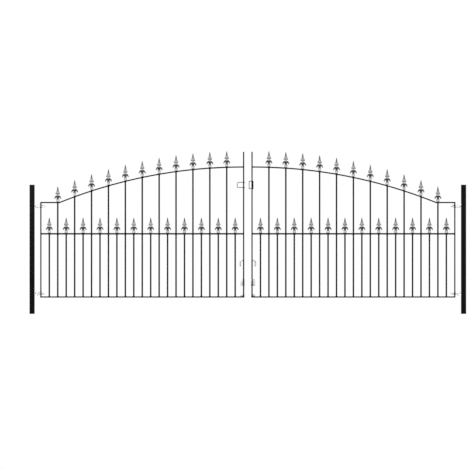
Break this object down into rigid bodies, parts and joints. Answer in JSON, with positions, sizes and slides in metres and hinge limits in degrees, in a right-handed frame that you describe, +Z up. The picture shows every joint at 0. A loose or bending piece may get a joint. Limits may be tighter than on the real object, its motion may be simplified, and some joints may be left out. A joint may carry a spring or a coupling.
{
  "type": "double driveway gate",
  "caption": "Pair of arched steel driveway gates with spear railheads, hung on two square posts, with a latch and drop bolts.",
  "frame": {"origin": "centre of the left post's foot, at ground level", "axes": "+X along the gate from the left post to the right post, +Z up, the front faces -Y"},
  "size_m": [3.38, 0.0588, 1.2613],
  "materials": {
    "black_coat": "satin",
    "cast_heads": "satin",
    "zinc_plate": "satin",
    "cap_plastic": "matte"
  },
  "bodies": {
    "root": {"left_post": "black_coat", "right_post": "black_coat", "left_post_cap": "cap_plastic", "right_post_cap": "cap_plastic", "left_hinge_brackets": "black_coat", "right_hinge_brackets": "black_coat"},
    "left_leaf": {"left_hinge_stile": "black_coat", "left_meeting_stile": "black_coat", "left_bottom_rail": "black_coat", "left_mid_rail": "black_coat", "left_top_rail": "black_coat", "left_tall_bars": "black_coat", "left_dog_bars": "black_coat", "left_tall_railheads": "cast_heads", "left_dog_railheads": "cast_heads", "left_eye_bolts": "zinc_plate", "left_hinge_nuts": "zinc_plate", "left_drop_keeps": "zinc_plate"},
    "right_leaf": {"right_hinge_stile": "black_coat", "right_meeting_stile": "black_coat", "right_bottom_rail": "black_coat", "right_mid_rail": "black_coat", "right_top_rail": "black_coat", "right_tall_bars": "black_coat", "right_dog_bars": "black_coat", "right_tall_railheads": "cast_heads", "right_dog_railheads": "cast_heads", "right_eye_bolts": "zinc_plate", "right_hinge_nuts": "zinc_plate", "right_drop_keeps": "zinc_plate", "latch_keeper": "black_coat", "keeper_backing_plate": "black_coat"},
    "left_drop_bolt": {"left_drop_bolt": "zinc_plate"},
    "right_drop_bolt": {"right_drop_bolt": "zinc_plate"},
    "latch_bolt": {"latch_bolt": "zinc_plate"}
  },
  "joints": [
    {"name": "left_leaf_swing", "type": "hinge", "parent": "root", "child": "left_leaf", "pos_m": [0.037, 0, 0], "axis": [0, 0, 1], "range_deg": [0, 90]},
    {"name": "right_leaf_swing", "type": "hinge", "parent": "root", "child": "right_leaf", "pos_m": [3.303, 0, 0], "axis": [0, 0, -1], "range_deg": [0, 90]},
    {"name": "left_drop_slide", "type": "slide", "parent": "left_leaf", "child": "left_drop_bolt", "axis": [0, 0, -1], "range_m": [0, 0.13]},
    {"name": "right_drop_slide", "type": "slide", "parent": "right_leaf", "child": "right_drop_bolt", "axis": [0, 0, -1], "range_m": [0, 0.13]},
    {"name": "latch_slide", "type": "slide", "parent": "left_leaf", "child": "latch_bolt", "axis": [1, 0, 0], "range_m": [0, 0.0355]}
  ]
}
